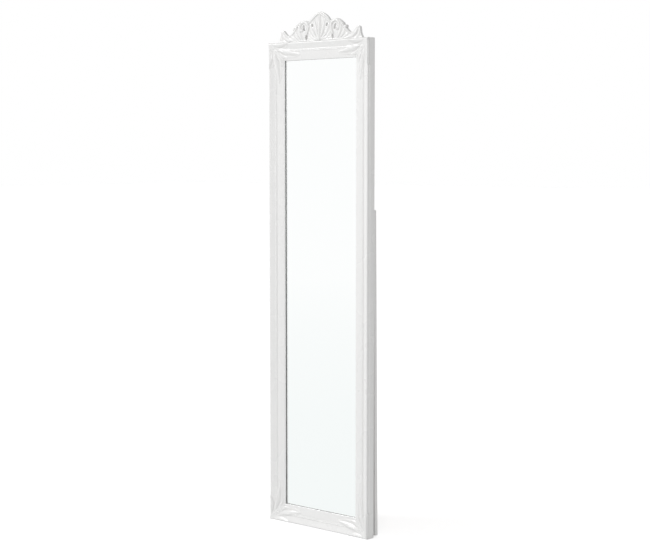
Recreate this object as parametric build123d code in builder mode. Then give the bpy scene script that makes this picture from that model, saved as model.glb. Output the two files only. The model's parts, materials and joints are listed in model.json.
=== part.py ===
"""Free-standing full-length mirror in a white carved frame, with a hinged easel stand behind it.

Millimetres. +Z is up, +X is to the right of someone looking into the mirror, and -Y is towards them.
The origin is on the floor, in the middle of the flat underside of the frame.
"""

from build123d import *
from math import asin, cos, degrees, radians, sin
import os

# Overall sizes
FRAME_W = 400.0
FRAME_H = 1512.0
TOTAL_H = 1600.0
FRAME_DEPTH = 32.0

# The moulding: u runs inwards from the outside edge, d runs back from the foremost edge
FACE_W = 56.0
LIP_FRONT = 13.4
LIP_BACK = 16.4
REBATE = 8.0
SIDE_STEP = 16.2
SIDE_OVOLO = ((0.0, SIDE_STEP), (0.78, 11.8), (2.6, 8.4))
SIDE_GROOVE = ((2.6, 8.4), (3.3, 7.0), (2.4, 5.4))
NOSE = ((1.8, 3.2), (2.7, 1.0), (5.0, 0.0))
OUTER_SLOPE = ((5.0, 0.0), (13.8, 4.1), (22.0, 7.4))
LARGE_BEAD = ((22.0, 7.4), (24.1, 6.1), (26.0, 7.6))
SMALL_BEAD = ((26.0, 7.6), (27.5, 6.8), (28.8, 8.2))
INNER_SLOPE = ((28.8, 8.2), (42.0, 9.8), (54.6, 12.0))
LIP_ROUND = ((54.6, 12.0), (55.6, 12.5), (FACE_W, LIP_FRONT))
FRONT = -(SIDE_STEP + FRAME_DEPTH) / 2
BACK = FRONT + FRAME_DEPTH

# Glass and backing, each with a little air round it, and the flexible points that hold them
GLASS_T = 4.0
BOARD_T = 3.0
PANE_GAP = 0.4
ARRIS = 0.8
TABS_ON_STILE = 4
TABS_ON_RAIL = 2
LAYER_GAP = 0.1
TAB_T = 0.8
TAB_W = 8.0
TAB_START = 42.0
TAB_END = 60.0

# Carved leaves at the corners, in millimetres from the outside corner along each moulding
LEAF_LAYERS = [(2.0, 1.0), (3.3, 0.85), (4.6, 0.66)]
LEAF_CENTRE = 22.0
LEAF_SIDE = (0.0, 80.0)
LEAF_NOTCH = (20.0, 68.0)
LEAF_TIP = (38.0, 126.0)
LEAF_THROAT = (47.0, 74.0)
LEAF_HEART = (55.0, 55.0)
WRAP_DEPTH = 9.0
WRAP_ROOT = 4.0
LEAF_CEILING = [(0.0, 3.0), (2.2, 1.0), (5.0, 0.0), (22.0, 6.4), (25.5, 5.8), (29.0, 7.0), (54.0, 11.8)]
LEAF_SIDE_BULGE = 3.0
LEAF_TONGUE_BULGE = 5.0

# The crest on the top rail
CREST_H = TOTAL_H - FRAME_H
CREST_FRONT = 13.0
CREST_BACK = 22.0
PALMETTE_STEPS = [(1.0, 2.0), (0.84, 3.4), (0.62, 4.6)]
SCROLL_STEPS = [(1.0, 2.6)]
WING_STEPS = [(1.0, 1.6), (0.8, 2.8)]
CREST_BEADS = [(91.0, 46.0), (103.0, 38.0)]
CREST_BEAD_R = 4.5
CREST_PIERCINGS = [((29, 47), (3.2, 5.0), -20), ((62, 40), (5.0, 9.5), -20), ((52, 11), (4.0, 7.0), 10)]
PALMETTE_TOP = CREST_H - 3.0
PALMETTE_FOOT = 0.5
SCROLL_CENTRE = (64.0, 42.0)
SCROLL_R = 19.0
SCROLL_EYE_R = 12.0
CREST_DOWEL_R = 2.5
CREST_DOWEL_L = 30.0
CREST_DOWEL_X = 95.0
CREST_DOWEL_TOP = 14.0
CREST_DOWEL_DEPTH = 19.0

# The stand, which hangs parallel to the frame from its hinges before it is opened
STAND_GAP = 4.0
STAND_T = 12.0
STAND_W = 388.0
STAND_TOP = 1000.0
LEG_W = 30.0
LEG_BOTTOM = 3.0
TOP_RAIL_H = 60.0
LOWER_RAIL_Z = 60.0
LOWER_RAIL_H = 50.0
HINGE_Z = 1003.0
HINGE_Y = BACK + STAND_GAP / 2
REST_OPEN = 0.66
FULL_OPEN = 15.0
STAND_DOWEL_R = 3.0
STAND_DOWEL_L = 30.0
STAND_DOWEL_Z = (72.0, 98.0, 952.0, 975.0)
CORNER_ROUND = 4.0
EDGE_ROUND = 1.0
LEG_X = STAND_W / 2 - LEG_W / 2
LEG_INSIDE = STAND_W / 2 - LEG_W
STAND_FACE = HINGE_Y + STAND_GAP / 2

# Screws: the cross recess in parts of the head's radius, and a length for each use
RECESS_SPAN = 1.3
RECESS_W = 0.25
RECESS_DEPTH = 0.5
FRAME_HINGE_SCREW_L = 14.0
STAND_HINGE_SCREW_L = 10.0
BACK_SCREW_L = 12.0
SLIDE_SCREW_L = 10.0
BUMPER_SCREW_L = 15.0

# The hinges, and where their screws are from the middle of the axis
KNUCKLE_R = 2.0
KNUCKLE_NOTCH = 2.6
HINGE_PIN_R = 0.95
PIN_HEAD_R = 1.6
PIN_HEAD_T = 0.8
HINGE_W = 26.0
LEAF_T = 1.0
LEAF_H = 24.0
LEAF_ROUND = 3.0
MIDDLE_KNUCKLE = 9.2
KNUCKLE_GAP = 0.3
RUNNING_GAP = 0.05
HINGE_SCREW_R = 2.0
FRAME_SCREWS = [(-7.0, -10.0), (7.0, -18.0)]
STAND_SCREWS = [(7.0, -10.0), (-7.0, -18.0)]

# The support arms: each turns on a bracket behind the frame and slides in a slotted plate on the leg
ARM_DROP = 485.0
ARM_LENGTH = 323.0
ARM_W = 10.0
ARM_T = 2.0
ARM_X = 161.1
ARM_PIN_R = 2.0
ARM_PIN_GAP = 0.08
ARM_AIR = 0.3
TRACK_OFFSET = STAND_GAP / 2 + STAND_T / 2
ARM_Y = HINGE_Y + TRACK_OFFSET
ARM_Z = HINGE_Z - ARM_DROP
EAR_T = 1.5
EAR_R = 6.0
EAR_X = ARM_X - ARM_T / 2 - ARM_AIR - EAR_T
FLANGE_W = 16.0
FLANGE_H = 36.0
FLANGE_ROUND = 3.0
BRACKET_SCREW_X = 9.7
BRACKET_SCREW_Z = 12.0
RIVET_HEAD_R = 3.5
RIVET_HEAD_T = 0.9
SLIDE_HEAD_R = 3.2
SLIDE_HEAD_T = 0.8
SLIDE_REACH = 2.5
PLATE_T = 1.5
PLATE_W = 11.0
PLATE_END = 23.0
PLATE_SCREW = 16.0
PLATE_SCREW_R = 2.2
SLOT_W = 6.4
SLOT_PLAY = 0.3
GROOVE_W = 7.2
GROOVE_DEPTH = 3.6

# Rubber buffers on the stand's legs, and the glides under them
BUMPER_Z = 200.0
BUMPER_R = 8.0
BUMPER_TAPER = 1.0
BUMPER_RECESS_R = 3.2
BUMPER_AIR = 0.3
BUMPER_SCREW_R = 2.5
GLIDE_R = 5.0
GLIDE_RIM = 1.2
GLIDE_AIR = 0.03
GLIDE_NAIL_R = 0.9
GLIDE_NAIL_L = 12.0
GLIDE_NAIL_POINT = 2.0

# Steel plates across the backs of the mitres, and the wedges driven into the mitres under them
CORNER_PLATE = 62.0
CORNER_PLATE_W = 16.0
CORNER_PLATE_T = 1.5
CORNER_PLATE_EDGE = 14.0
CORNER_PLATE_ROUND = 2.0
PLATE_MIDDLE = CORNER_PLATE_EDGE + CORNER_PLATE_W / 2
PLATE_SCREWS_FROM_CORNER = (40.0, 66.0)
CORNER_SCREW_R = 3.0
WEDGE_PLACES = (18.0, 34.0)
WEDGE_LEG = 6.0
WEDGE_T = 0.5
WEDGE_L = 10.0

FORWARD = Vector(0, -1, 0)
BACKWARD = Vector(0, 1, 0)


def save(part, name):
    """Writes one finished piece."""
    part.label = name
    export_step(part, f"parts/{name}.step")


def save_pair(part, name):
    """Writes a right-hand piece and its mirror image on the left."""
    save(part, f"{name}_right")
    save(part.mirror(Plane.YZ), f"{name}_left")


def both(parts):
    """Right-hand fasteners and their mirror images, as one list."""
    return parts + [part.mirror(Plane.YZ) for part in parts]


def open_stand(part):
    """Swings a piece of the stand about the hinge axis, foot outwards, to where it rests."""
    return part.rotate(Axis((0, HINGE_Y, HINGE_Z), (1, 0, 0)), REST_OPEN)


def screw_shape(head_r, length):
    """Outside of a countersunk wood screw: its head's face is at the origin, and it points down."""
    shank_r = head_r / 2
    head_h = head_r - shank_r
    with BuildPart() as shape:
        with BuildSketch(Plane.XZ):
            with BuildLine():
                Polyline(
                    (0, 0),
                    (head_r, 0),
                    (shank_r, -head_h),
                    (shank_r, shank_r * 2 - length),
                    (0, -length),
                    close=True,
                )
            make_face()
        revolve(axis=Axis.Z)
    return shape.part


def screw(head_r, length):
    """A countersunk wood screw with a cross recess."""
    with BuildPart() as fastener:
        add(screw_shape(head_r, length))
        for turn in (0, 90):
            with Locations(Location((0, 0, 0), (0, 0, turn))):
                Box(head_r * RECESS_SPAN, head_r * RECESS_W, head_r * RECESS_DEPTH, mode=Mode.SUBTRACT)
    return fastener.part


def placed(part, places, outward):
    """Copies of a part that is drawn pointing down, with its top at each place and facing outward."""
    return [Plane(origin=place, z_dir=outward) * part for place in places]


def group(parts, name, stand=False):
    """Writes separate solids as one group of like fasteners."""
    solids = [solid for part in parts for solid in part.solids()]
    together = Compound(children=solids)
    save(open_stand(together) if stand else together, name)


os.makedirs("parts", exist_ok=True)

# The four mouldings go round the frame, and each starts at the corner where the last one ends
LEFT, RIGHT = -FRAME_W / 2, FRAME_W / 2
CORNERS = [
    ("left_stile", "bottom_left", Vector(LEFT, FRONT, 0), Vector(1, 0, 0), Vector(0, 0, 1)),
    ("top_rail", "top_left", Vector(LEFT, FRONT, FRAME_H), Vector(0, 0, -1), Vector(1, 0, 0)),
    ("right_stile", "top_right", Vector(RIGHT, FRONT, FRAME_H), Vector(-1, 0, 0), Vector(0, 0, -1)),
    ("bottom_rail", "bottom_right", Vector(RIGHT, FRONT, 0), Vector(0, 0, 1), Vector(-1, 0, 0)),
]


def mitred(profile, corner, inward, along):
    """A length of moulding from one corner to the next, with a mitre at each end."""
    length = FRAME_H if abs(along.Z) > 0 else FRAME_W
    with BuildPart() as member:
        with BuildSketch(Plane(origin=corner, x_dir=inward, z_dir=along)):
            add(profile)
        extrude(amount=length)
        split(bisect_by=Plane(origin=corner, z_dir=along - inward), keep=Keep.TOP)
        split(bisect_by=Plane(origin=corner + along * length, z_dir=along + inward), keep=Keep.BOTTOM)
    return member.part


# Ovolo and groove on the outer edge, sloping face, double bead, inner slope, lip and rebate
with BuildSketch() as moulding_profile:
    with BuildLine():
        Line((0, FRAME_DEPTH), (0, SIDE_STEP))
        ThreePointArc(*SIDE_OVOLO)
        ThreePointArc(*SIDE_GROOVE)
        Line(SIDE_GROOVE[-1], NOSE[0])
        for round_part in (NOSE, OUTER_SLOPE, LARGE_BEAD, SMALL_BEAD, INNER_SLOPE, LIP_ROUND):
            ThreePointArc(*round_part)
        Polyline(
            (FACE_W, LIP_FRONT),
            (FACE_W, LIP_BACK),
            (FACE_W - REBATE, LIP_BACK),
            (FACE_W - REBATE, FRAME_DEPTH),
            (0, FRAME_DEPTH),
        )
    make_face()

mouldings = {}
for moulding_name, _, corner, inward, along in CORNERS:
    mouldings[moulding_name] = mitred(moulding_profile.sketch, corner, inward, along)
    save(mouldings[moulding_name], moulding_name)


def raised_profile(rise):
    """The space over the moulding's face, up to so many millimetres above it."""
    with BuildSketch() as profile:
        with BuildLine():
            Polyline(
                (0.0, WRAP_DEPTH),
                *[(u, depth - rise) for u, depth in LEAF_CEILING],
                (FACE_W, LIP_FRONT - rise),
                (FACE_W, LIP_FRONT + 1),
                (FACE_W / 2, LIP_FRONT + 1),
                (WRAP_ROOT, WRAP_DEPTH),
                close=True,
            )
        make_face()
    return profile.sketch


def leaf_outline(size):
    """Acanthus leaf over a mitre, alike on both sides of the diagonal, with a long tongue each way."""

    def shrunk(point):
        return tuple(LEAF_CENTRE + (value - LEAF_CENTRE) * size for value in point)

    root = shrunk((0.0, 0.0))
    side, notch, tip, throat, heart = (
        shrunk(point) for point in (LEAF_SIDE, LEAF_NOTCH, LEAF_TIP, LEAF_THROAT, LEAF_HEART)
    )
    arcs = [
        (side, notch, LEAF_SIDE_BULGE),
        (notch, tip, LEAF_TONGUE_BULGE),
        (tip, throat, LEAF_TONGUE_BULGE),
        (throat, heart, LEAF_SIDE_BULGE),
    ]
    with BuildSketch() as outline:
        with BuildLine():
            Line(root, side)
            Line(side[::-1], root)
            for start, end, bulge in arcs:
                SagittaArc(start, end, bulge * size)
                SagittaArc(end[::-1], start[::-1], bulge * size)
        make_face()
    return outline.sketch


def corner_leaf(index):
    """The leaf ornament at one corner, bedded on the two mouldings that meet there."""
    corner, inward = CORNERS[index][2:4]
    layers = []
    for rise, size in LEAF_LAYERS:
        cover = [mitred(raised_profile(rise), *CORNERS[i][2:]) for i in (index, index - 1)]
        with BuildPart() as layer:
            with BuildSketch(Plane(origin=corner, x_dir=inward, z_dir=FORWARD).offset(-LIP_BACK)):
                add(leaf_outline(size))
            extrude(amount=2 * LIP_BACK)
            add(cover[0] + cover[1], mode=Mode.INTERSECT)
        layers.append(layer.part)
    with BuildPart() as leaf:
        add(layers)
        for i in (index, index - 1):
            add(mouldings[CORNERS[i][0]], mode=Mode.SUBTRACT)
    return leaf.part


for i, (_, place, *_) in enumerate(CORNERS):
    save(corner_leaf(i), f"corner_leaf_{place}")


# The crest: a pierced board with a palmette, scrolls and leaf wings raised on its face
def crest_plane(depth):
    """A plane that faces the viewer on the crest, with its origin on the top rail."""
    return Plane(origin=(0, FRONT + depth, FRAME_H), x_dir=(1, 0, 0), z_dir=FORWARD)


def crest_relief(outline, centre, steps):
    """Steps of relief on the crest's face, each a smaller copy of the outline, on both sides."""
    centre = Vector(*centre)
    with BuildPart() as relief:
        for size, rise in steps:
            with BuildSketch(crest_plane(CREST_FRONT)):
                add(outline.translate(-centre).scale(size).translate(centre))
                mirror(about=Plane.YZ)
            extrude(amount=rise)
    return relief.part


with BuildSketch() as palmette:
    with BuildLine():
        Polyline((0, PALMETTE_TOP), (0, PALMETTE_FOOT), (18, PALMETTE_FOOT))
        Spline((18, PALMETTE_FOOT), (32, 14), (26, 30), (20, 42))
        Spline((20, 42), (26, 56), (38, 58))
        ThreePointArc((38, 58), (23, 73), (0, PALMETTE_TOP))
    make_face()
with BuildSketch() as wing:
    with BuildLine():
        Spline((74, 2), (84, 22), (92, 44), (124, 15), (136, 20), (147, 32))
        ThreePointArc((147, 32), (154, 31), (155, 26))
        Spline((155, 26), (152, 14), (160, 2))
        Line((160, 2), (74, 2))
    make_face()
with BuildSketch() as scroll:
    with Locations(SCROLL_CENTRE):
        Circle(SCROLL_R)
        Circle(SCROLL_EYE_R, mode=Mode.SUBTRACT)

with BuildPart() as crest:
    with BuildSketch(crest_plane(CREST_BACK)):
        with BuildLine():
            Polyline((0, CREST_H), (0, 0), (170, 0))
            Spline((170, 0), (162, 12), (159, 28))
            ThreePointArc((159, 28), (155, 36), (146, 36))
            Spline((146, 36), (134, 24), (124, 19), (112, 27), (99, 41), (88, 54), (79, 60))
            ThreePointArc((79, 60), (70, 63.5), (60, 62))
            ThreePointArc((60, 62), (52, 62), (43, 58))
            ThreePointArc((43, 58), (26, 76), (0, CREST_H))
        make_face()
        for place, radii, turn in CREST_PIERCINGS:
            with Locations(place):
                Ellipse(*radii, rotation=turn, mode=Mode.SUBTRACT)
        mirror(about=Plane.YZ)
    extrude(amount=CREST_BACK - CREST_FRONT)
    add(crest_relief(palmette.sketch, (0, CREST_H / 2), PALMETTE_STEPS))
    add(crest_relief(scroll.sketch, SCROLL_CENTRE, SCROLL_STEPS))
    add(crest_relief(wing.sketch, (125, 10), WING_STEPS))
    for x, z in CREST_BEADS:
        for side in (-1, 1):
            with Locations((side * x, FRONT + CREST_FRONT, FRAME_H + z)):
                Sphere(CREST_BEAD_R)
save(crest.part, "crest")

with BuildPart() as crest_dowel:
    Cylinder(CREST_DOWEL_R, CREST_DOWEL_L, align=(Align.CENTER, Align.CENTER, Align.MAX))
crest_dowel_places = [
    (x, FRONT + CREST_DOWEL_DEPTH, FRAME_H + CREST_DOWEL_TOP) for x in (-CREST_DOWEL_X, 0, CREST_DOWEL_X)
]
group(placed(crest_dowel.part, crest_dowel_places, (0, 0, 1)), "crest_dowels")

# Mirror glass and the board behind it, in the rebate
PANE_W = FRAME_W - 2 * (FACE_W - REBATE + PANE_GAP)
PANE_H = FRAME_H - 2 * (FACE_W - REBATE + PANE_GAP)
GLASS_FRONT = LIP_BACK + LAYER_GAP
BOARD_FRONT = GLASS_FRONT + GLASS_T + LAYER_GAP
TAB_FRONT = BOARD_FRONT + BOARD_T + LAYER_GAP

with BuildPart() as mirror_glass:
    with BuildSketch(Plane(origin=(0, FRONT + GLASS_FRONT, FRAME_H / 2), x_dir=(1, 0, 0), z_dir=BACKWARD)):
        Rectangle(PANE_W, PANE_H)
    extrude(amount=GLASS_T)
    chamfer(mirror_glass.faces().sort_by(Axis.Y)[0].edges(), ARRIS)
save(mirror_glass.part, "mirror_glass")

with BuildPart() as backing_board:
    with BuildSketch(Plane(origin=(0, FRONT + BOARD_FRONT, FRAME_H / 2), x_dir=(1, 0, 0), z_dir=BACKWARD)):
        Rectangle(PANE_W, PANE_H)
    extrude(amount=BOARD_T)
save(backing_board.part, "backing_board")

with BuildPart() as backing_tab:
    with BuildSketch():
        with BuildLine():
            Polyline(
                (TAB_START, -TAB_W / 2),
                (TAB_START, TAB_W / 2),
                (TAB_END - TAB_W / 2, TAB_W / 2),
                (TAB_END, 0),
                (TAB_END - TAB_W / 2, -TAB_W / 2),
                close=True,
            )
        make_face()
    extrude(amount=TAB_T)

backing_tabs = []
for moulding_name, _, corner, inward, along in CORNERS:
    stile = moulding_name.endswith("stile")
    side, count = (FRAME_H, TABS_ON_STILE) if stile else (FRAME_W, TABS_ON_RAIL)
    for i in range(count):
        place = corner + along * (side * (i + 0.5) / count) + BACKWARD * TAB_FRONT
        backing_tabs.append(Plane(origin=place, x_dir=inward, z_dir=BACKWARD) * backing_tab.part)
group(backing_tabs, "backing_tabs")

# Angle plates and wedges at the mitres
corner_screw_places = []
for _, place, corner, inward, along in CORNERS:
    outside = corner + BACKWARD * (FRAME_DEPTH + CORNER_PLATE_T)
    places = []
    for reach in PLATE_SCREWS_FROM_CORNER:
        places.append(outside + inward * PLATE_MIDDLE + along * reach)
        places.append(outside + inward * reach + along * PLATE_MIDDLE)
    with BuildPart() as corner_plate:
        with BuildSketch(Plane(origin=outside, x_dir=inward, z_dir=FORWARD)):
            with Locations((CORNER_PLATE_EDGE, CORNER_PLATE_EDGE)):
                Rectangle(CORNER_PLATE, CORNER_PLATE_W, align=(Align.MIN, Align.MIN))
                Rectangle(CORNER_PLATE_W, CORNER_PLATE, align=(Align.MIN, Align.MIN))
        extrude(amount=CORNER_PLATE_T)
        fillet(corner_plate.edges().filter_by(Axis.Y), CORNER_PLATE_ROUND)
        add(placed(screw_shape(CORNER_SCREW_R, BACK_SCREW_L), places, BACKWARD), mode=Mode.SUBTRACT)
    save(corner_plate.part, f"corner_plate_{place}")
    corner_screw_places += places
group(placed(screw(CORNER_SCREW_R, BACK_SCREW_L), corner_screw_places, BACKWARD), "corner_plate_screws")

with BuildPart() as mitre_wedge:
    with BuildSketch():
        Rectangle(WEDGE_LEG, WEDGE_T, align=(Align.MIN, Align.MIN))
        Rectangle(WEDGE_T, WEDGE_LEG, align=(Align.MIN, Align.MIN))
    extrude(amount=WEDGE_L)
mitre_wedges = []
for _, _, corner, inward, along in CORNERS:
    for reach in WEDGE_PLACES:
        place = corner + (inward + along) * reach + BACKWARD * FRAME_DEPTH
        mitre_wedges.append(Plane(origin=place, x_dir=inward, z_dir=FORWARD) * mitre_wedge.part)
group(mitre_wedges, "mitre_wedges")


# The two butt hinges: one leaf on the frame, the other on the stand, and a headed pin
def across(x, y, z):
    """A plane that faces right, with its own x backwards and y upwards."""
    return Plane(origin=(x, y, z), x_dir=(0, 1, 0), z_dir=(1, 0, 0))


def hinge_leaf(side, notches, screw_places, outward):
    """A hinge leaf: side is -1 against the frame and 1 against the stand; notches clear the other leaf."""
    with BuildPart() as leaf:
        with BuildSketch(across(LEG_X, HINGE_Y, HINGE_Z)):
            with Locations((side * (KNUCKLE_R - LEAF_T / 2), 0)):
                Rectangle(LEAF_T, LEAF_H, align=(Align.CENTER, Align.MAX))
            Circle(KNUCKLE_R)
            Circle(HINGE_PIN_R + RUNNING_GAP, mode=Mode.SUBTRACT)
        extrude(amount=HINGE_W / 2, both=True)
        for middle, width in notches:
            with Locations((LEG_X + middle, HINGE_Y, HINGE_Z)):
                Box(width, 2 * KNUCKLE_NOTCH, 2 * KNUCKLE_NOTCH, mode=Mode.SUBTRACT)
        fillet(leaf.edges().filter_by(Axis.Y).group_by(Axis.Z)[0], LEAF_ROUND)
        countersink = screw_shape(HINGE_SCREW_R, STAND_HINGE_SCREW_L)
        add(placed(countersink, screw_places, outward), mode=Mode.SUBTRACT)
    return leaf.part


frame_screw_y = HINGE_Y - KNUCKLE_R + LEAF_T
stand_screw_y = HINGE_Y + KNUCKLE_R - LEAF_T
frame_screw_places = [(LEG_X + x, frame_screw_y, HINGE_Z + z) for x, z in FRAME_SCREWS]
stand_screw_places = [(LEG_X + x, stand_screw_y, HINGE_Z + z) for x, z in STAND_SCREWS]
middle_notch = [(0, MIDDLE_KNUCKLE + 2 * KNUCKLE_GAP)]
end_notches = [(side * (MIDDLE_KNUCKLE + HINGE_W) / 2, HINGE_W) for side in (-1, 1)]
save_pair(hinge_leaf(-1, middle_notch, frame_screw_places, BACKWARD), "frame_hinge_leaf")
save_pair(open_stand(hinge_leaf(1, end_notches, stand_screw_places, FORWARD)), "stand_hinge_leaf")

frame_hinge_screws = placed(screw(HINGE_SCREW_R, FRAME_HINGE_SCREW_L), frame_screw_places, BACKWARD)
stand_hinge_screws = placed(screw(HINGE_SCREW_R, STAND_HINGE_SCREW_L), stand_screw_places, FORWARD)
group(both(frame_hinge_screws), "frame_hinge_screws")
group(both(stand_hinge_screws), "stand_hinge_screws", stand=True)

with BuildPart() as hinge_pin:
    with BuildSketch(across(LEG_X, HINGE_Y, HINGE_Z)):
        Circle(HINGE_PIN_R)
    extrude(amount=HINGE_W / 2, both=True)
    for side in (-1, 1):
        with BuildSketch(across(LEG_X + side * (HINGE_W + PIN_HEAD_T) / 2, HINGE_Y, HINGE_Z)):
            Circle(PIN_HEAD_R)
        extrude(amount=PIN_HEAD_T / 2, both=True)
save_pair(hinge_pin.part, "hinge_pin")


# The linkage: how far the arm swings, and how far down the leg its pin is, at one angle of the stand
def arm_angle(stand_angle):
    """Degrees that the arm hangs outwards from upright."""
    turn = radians(stand_angle)
    offset = ARM_DROP * sin(turn) + TRACK_OFFSET * (1 - cos(turn))
    return stand_angle + degrees(asin(offset / ARM_LENGTH))


def slide_place(stand_angle):
    """Distance of the slide pin from the hinge axis, measured down the leg."""
    turn, arm = radians(stand_angle), radians(arm_angle(stand_angle))
    sideways = TRACK_OFFSET + ARM_LENGTH * sin(arm)
    down = ARM_DROP + ARM_LENGTH * cos(arm)
    return sideways * sin(turn) + down * cos(turn)


ARM_REST = arm_angle(REST_OPEN)
SLOT_EASE = SLOT_W / 2 - ARM_PIN_R - SLOT_PLAY
SLOT_TOP = slide_place(FULL_OPEN) + SLOT_EASE
SLOT_BOTTOM = slide_place(REST_OPEN) - SLOT_EASE
SLOT_LENGTH = SLOT_BOTTOM - SLOT_TOP
SLOT_MIDDLE = (SLOT_TOP + SLOT_BOTTOM) / 2


def swing_arm(part):
    """Swings a piece of a support arm about its pivot, to where it rests."""
    return part.rotate(Axis((0, ARM_Y, ARM_Z), (1, 0, 0)), ARM_REST)


# Bracket behind the frame, with its screws and the rivet that the arm turns on
bracket_screw_places = [
    (EAR_X + BRACKET_SCREW_X, BACK + EAR_T, ARM_Z + side * BRACKET_SCREW_Z) for side in (-1, 1)
]
with BuildPart() as arm_bracket:
    with Locations((EAR_X, BACK, ARM_Z)):
        Box(FLANGE_W, EAR_T, FLANGE_H, align=(Align.MIN, Align.MIN, Align.CENTER))
    fillet(arm_bracket.edges().filter_by(Axis.Y).group_by(Axis.X)[-1], FLANGE_ROUND)
    with BuildSketch(across(EAR_X, ARM_Y, ARM_Z)):
        Circle(EAR_R)
        Rectangle(ARM_Y - BACK, 2 * EAR_R, align=(Align.MAX, Align.CENTER))
        Circle(ARM_PIN_R, mode=Mode.SUBTRACT)
    extrude(amount=EAR_T)
    add(placed(screw_shape(CORNER_SCREW_R, BACK_SCREW_L), bracket_screw_places, BACKWARD), mode=Mode.SUBTRACT)
save_pair(arm_bracket.part, "arm_bracket")
bracket_screws = placed(screw(CORNER_SCREW_R, BACK_SCREW_L), bracket_screw_places, BACKWARD)
group(both(bracket_screws), "bracket_screws")

rivet_start = EAR_X - RIVET_HEAD_T
rivet_end = ARM_X + ARM_T / 2 + ARM_AIR + RIVET_HEAD_T
with BuildPart() as arm_rivet:
    with BuildSketch(across(rivet_start, ARM_Y, ARM_Z)):
        Circle(ARM_PIN_R)
    extrude(amount=rivet_end - rivet_start)
    for start in (rivet_start, rivet_end - RIVET_HEAD_T):
        with BuildSketch(across(start, ARM_Y, ARM_Z)):
            Circle(RIVET_HEAD_R)
        extrude(amount=RIVET_HEAD_T)
save_pair(arm_rivet.part, "arm_rivet")

# The flat steel arm, and the pin at its lower end that runs in the slotted plate
with BuildPart() as support_arm:
    with BuildSketch(across(ARM_X, ARM_Y, ARM_Z)):
        with Locations((0, -ARM_LENGTH / 2)):
            SlotCenterToCenter(ARM_LENGTH, ARM_W, rotation=90)
        Circle(ARM_PIN_R + ARM_PIN_GAP, mode=Mode.SUBTRACT)
        with Locations((0, -ARM_LENGTH)):
            Circle(ARM_PIN_R, mode=Mode.SUBTRACT)
    extrude(amount=ARM_T / 2, both=True)
save_pair(swing_arm(support_arm.part), "support_arm")

head_start = ARM_X - ARM_T / 2 - SLIDE_HEAD_T
with BuildPart() as slide_pin:
    with BuildSketch(across(head_start, ARM_Y, ARM_Z - ARM_LENGTH)):
        Circle(ARM_PIN_R)
    extrude(amount=LEG_INSIDE + SLIDE_REACH - head_start)
    with BuildSketch(across(head_start, ARM_Y, ARM_Z - ARM_LENGTH)):
        Circle(SLIDE_HEAD_R)
    extrude(amount=SLIDE_HEAD_T)
save_pair(swing_arm(slide_pin.part), "slide_pin")

plate_x = LEG_INSIDE - PLATE_T
plate_screw_places = [
    (plate_x, ARM_Y, HINGE_Z - SLOT_MIDDLE + side * (SLOT_LENGTH / 2 + PLATE_SCREW)) for side in (-1, 1)
]
with BuildPart() as slide_plate:
    with BuildSketch(across(plate_x, ARM_Y, HINGE_Z - SLOT_MIDDLE)):
        RectangleRounded(PLATE_W, SLOT_LENGTH + 2 * PLATE_END, EDGE_ROUND)
        SlotCenterToCenter(SLOT_LENGTH, SLOT_W, rotation=90, mode=Mode.SUBTRACT)
    extrude(amount=PLATE_T)
    add(placed(screw_shape(PLATE_SCREW_R, SLIDE_SCREW_L), plate_screw_places, (-1, 0, 0)), mode=Mode.SUBTRACT)
save_pair(open_stand(slide_plate.part), "slide_plate")
slide_plate_screws = placed(screw(PLATE_SCREW_R, SLIDE_SCREW_L), plate_screw_places, (-1, 0, 0))
group(both(slide_plate_screws), "slide_plate_screws", stand=True)

# The stand: two legs and two rails, dowelled together
with BuildPart() as stand_leg:
    with Locations((LEG_INSIDE, STAND_FACE, LEG_BOTTOM)):
        Box(LEG_W, STAND_T, STAND_TOP - LEG_BOTTOM, align=(Align.MIN, Align.MIN, Align.MIN))
    fillet(stand_leg.edges().filter_by(Axis.Y).group_by(Axis.X)[-1].sort_by(Axis.Z)[-1], CORNER_ROUND)
    fillet(stand_leg.edges().filter_by(Axis.Z), EDGE_ROUND)
    with BuildSketch(across(LEG_INSIDE, ARM_Y, HINGE_Z - SLOT_MIDDLE)):
        SlotCenterToCenter(SLOT_LENGTH, GROOVE_W, rotation=90)
    extrude(amount=GROOVE_DEPTH, mode=Mode.SUBTRACT)
save_pair(open_stand(stand_leg.part), "stand_leg")

rails = [
    ("stand_top_rail", STAND_TOP - TOP_RAIL_H, TOP_RAIL_H),
    ("stand_lower_rail", LOWER_RAIL_Z, LOWER_RAIL_H),
]
for rail_name, bottom, height in rails:
    with BuildPart() as stand_rail:
        with Locations((0, STAND_FACE, bottom)):
            Box(2 * LEG_INSIDE, STAND_T, height, align=(Align.CENTER, Align.MIN, Align.MIN))
        fillet(stand_rail.edges().filter_by(Axis.X), EDGE_ROUND)
    save(open_stand(stand_rail.part), rail_name)

with BuildPart() as stand_dowel:
    Cylinder(STAND_DOWEL_R, STAND_DOWEL_L, align=(Align.CENTER, Align.CENTER, Align.MAX))
dowel_places = [(LEG_INSIDE + STAND_DOWEL_L / 2, ARM_Y, z) for z in STAND_DOWEL_Z]
stand_dowels = placed(stand_dowel.part, dowel_places, (1, 0, 0))
group(both(stand_dowels), "stand_dowels", stand=True)

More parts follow.
